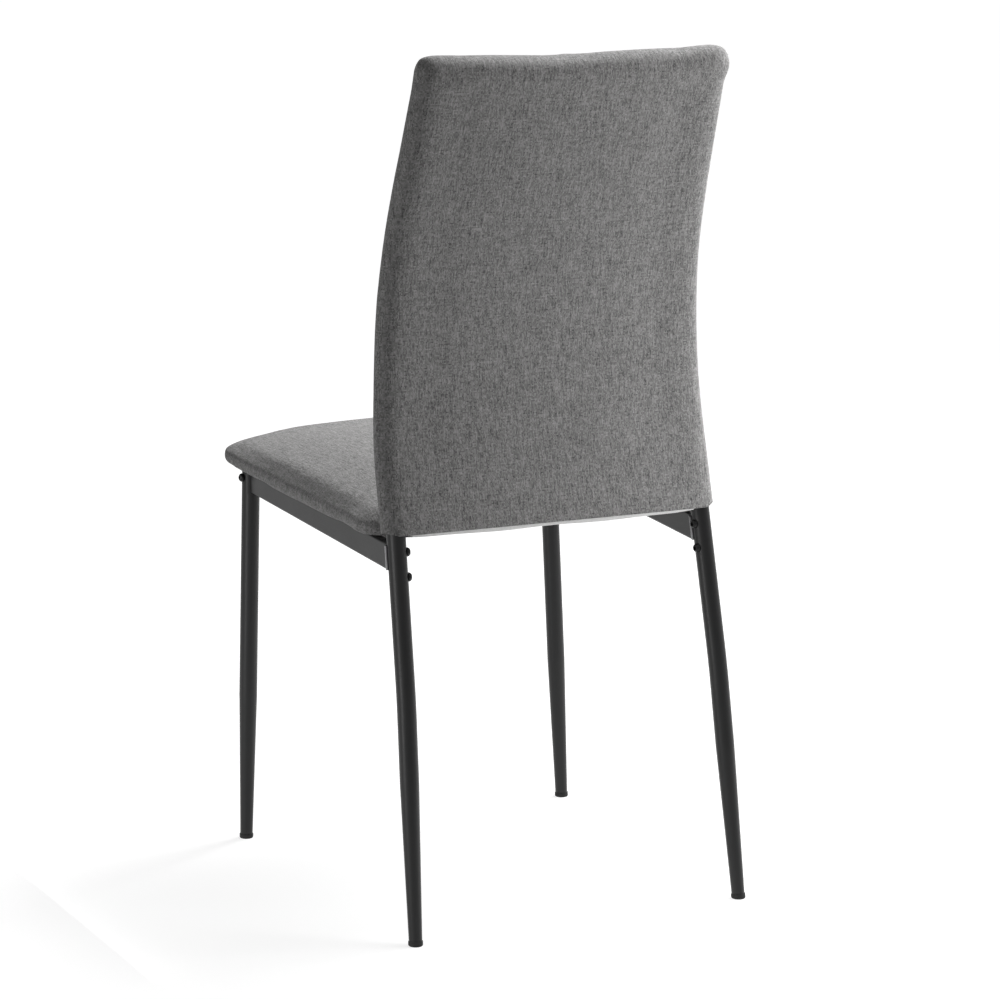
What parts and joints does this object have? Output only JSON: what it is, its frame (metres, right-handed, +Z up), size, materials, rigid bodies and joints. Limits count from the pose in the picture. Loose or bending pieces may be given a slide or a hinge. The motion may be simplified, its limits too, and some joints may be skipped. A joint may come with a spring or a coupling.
{
  "type": "dining chair",
  "caption": "Dining chair with a padded seat, a tall curved padded back in woven fabric and tapered round steel legs joined by flat side rails.",
  "frame": {"origin": "on the floor, under the middle of the chair's bounding box", "axes": "+Z up, -Y the way the sitter faces, +X the sitter's left hand"},
  "size_m": [0.4128, 0.4995, 0.9051],
  "materials": {
    "black_steel": "satin black powder coat",
    "grey_steel": "powder coat worn thin to grey at the plate's edge",
    "black_bolts": "black oxide, satin",
    "plain_steel": "plain or zinc-plated steel",
    "black_plastic": "matt moulded plastic",
    "grey_fabric": "grey melange woven polyester",
    "foam": "cut polyurethane foam",
    "webbing": "elastic webbing",
    "pale_tape": "woven tape",
    "black_cloth": "non-woven cloth",
    "plywood": "raw plywood"
  },
  "bodies": {
    "root": {"front_leg_left": "black_steel", "front_leg_right": "black_steel", "rear_leg_left": "black_steel", "rear_leg_right": "black_steel", "side_rail_left": "black_steel", "side_rail_right": "black_steel", "front_cross_rail": "black_steel", "seat_tabs": "black_steel", "rail_saddle_front_left": "black_steel", "rail_saddle_front_right": "black_steel", "rail_saddle_rear_left": "grey_steel", "rail_saddle_rear_right": "grey_steel", "front_leg_bolts": "black_bolts", "rear_leg_bolts": "black_bolts", "back_upright_left": "plain_steel", "back_upright_right": "plain_steel", "back_top_bar": "plain_steel", "back_lower_bar": "plain_steel", "upright_slugs": "plain_steel", "cross_rail_nut_blocks": "plain_steel", "seat_screws": "plain_steel", "foot_glide_front_left": "black_plastic", "foot_glide_front_right": "black_plastic", "foot_glide_rear_left": "black_plastic", "foot_glide_rear_right": "black_plastic", "upright_caps": "black_plastic", "back_cover": "grey_fabric", "seat_cover": "grey_fabric", "back_foam": "foam", "seat_foam": "foam", "back_belt_1": "webbing", "back_belt_2": "webbing", "back_belt_3": "webbing", "back_belt_4": "webbing", "back_closing_tape": "pale_tape", "seat_dust_cloth": "black_cloth", "seat_board": "plywood"}
  },
  "joints": []
}
